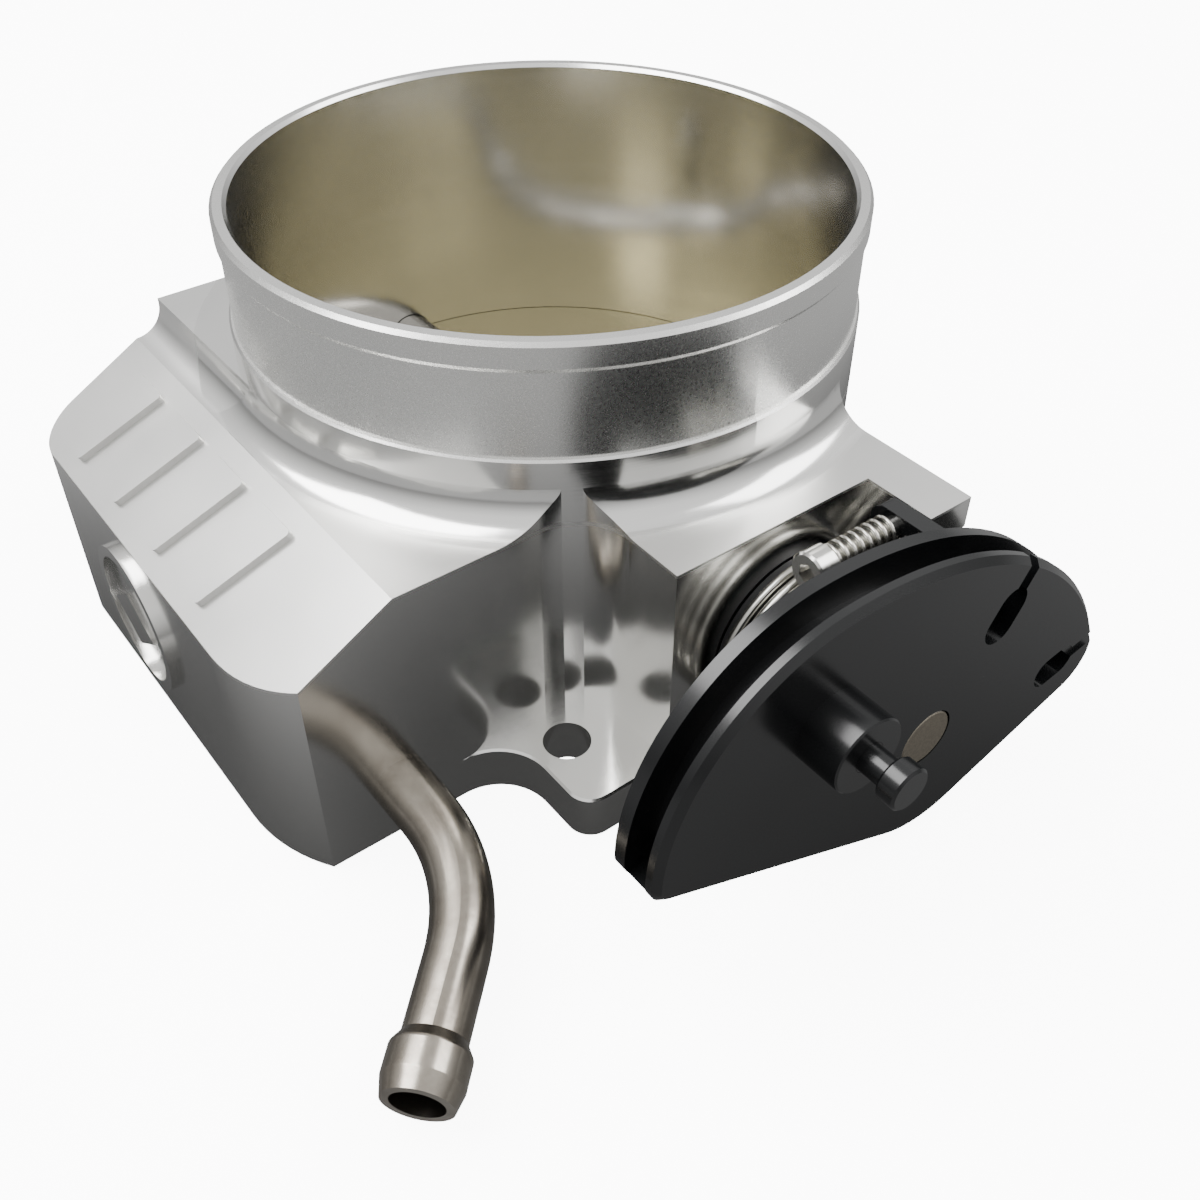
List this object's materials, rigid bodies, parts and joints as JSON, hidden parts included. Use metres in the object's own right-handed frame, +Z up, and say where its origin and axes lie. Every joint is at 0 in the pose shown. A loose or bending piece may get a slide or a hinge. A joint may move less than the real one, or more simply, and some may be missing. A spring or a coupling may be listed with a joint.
{
  "type": "throttle body",
  "caption": "Round-bore throttle body with a butterfly plate, cable cam with return spring and stop screw, bolted flange and a bent vacuum tube.",
  "frame": {"origin": "on the bore axis in the plane of the manifold flange face", "axes": "+Z up the bore to the air inlet, +X along the shaft to the cable cam, -Y towards the block with the vacuum tube"},
  "size_m": [0.181, 0.148, 0.078],
  "materials": {
    "machined_aluminium": "machined 6061 aluminium, satin with turned and milled marks",
    "plate_brass": "bright rolled brass",
    "screw_steel": "bright steel",
    "shaft_steel": "ground steel, end face sawn and dull",
    "bearing_steel": "ground steel",
    "seal_rubber": "black rubber",
    "washer_nylon": "black nylon",
    "spring_steel": "bright drawn wire",
    "cam_black": "black anodised aluminium, satin",
    "screw_black": "black oxide steel",
    "tube_steel": "stainless tube with brownish heat marks"
  },
  "bodies": {
    "housing": {"throttle_body": "machined_aluminium", "needle_bearing_cam_side": "bearing_steel", "needle_bearing_sensor_side": "bearing_steel", "needle_rollers_cam_side": "bearing_steel", "needle_rollers_sensor_side": "bearing_steel", "shaft_seal_cam_side": "seal_rubber", "shaft_seal_sensor_side": "seal_rubber", "thrust_washer_sensor_side": "washer_nylon", "return_spring": "spring_steel", "spring_bush": "washer_nylon", "vacuum_tube": "tube_steel"},
    "rotor": {"throttle_shaft": "shaft_steel", "throttle_plate": "plate_brass", "plate_screws": "screw_steel", "shaft_retaining_ring": "bearing_steel", "throttle_cam": "cam_black", "cam_grub_screws": "screw_black", "linkage_spacer": "cam_black", "linkage_stud": "cam_black", "idle_screw_spring": "spring_steel"},
    "stop_screw": {"idle_stop_screw": "screw_steel"}
  },
  "joints": [
    {"name": "throttle_turn", "type": "hinge", "parent": "housing", "child": "rotor", "pos_m": [0, 0, 0.0243], "axis": [1, 0, 0], "range_deg": [0, 85], "stiffness_Nm_per_rad": 0.25, "springref_deg": -68.75, "deforming": ["return_spring"]},
    {"name": "stop_screw_travel", "type": "slide", "parent": "rotor", "child": "stop_screw", "axis": [0, -1, 0], "range_m": [0, 0.003], "deforming": ["idle_screw_spring"]}
  ]
}
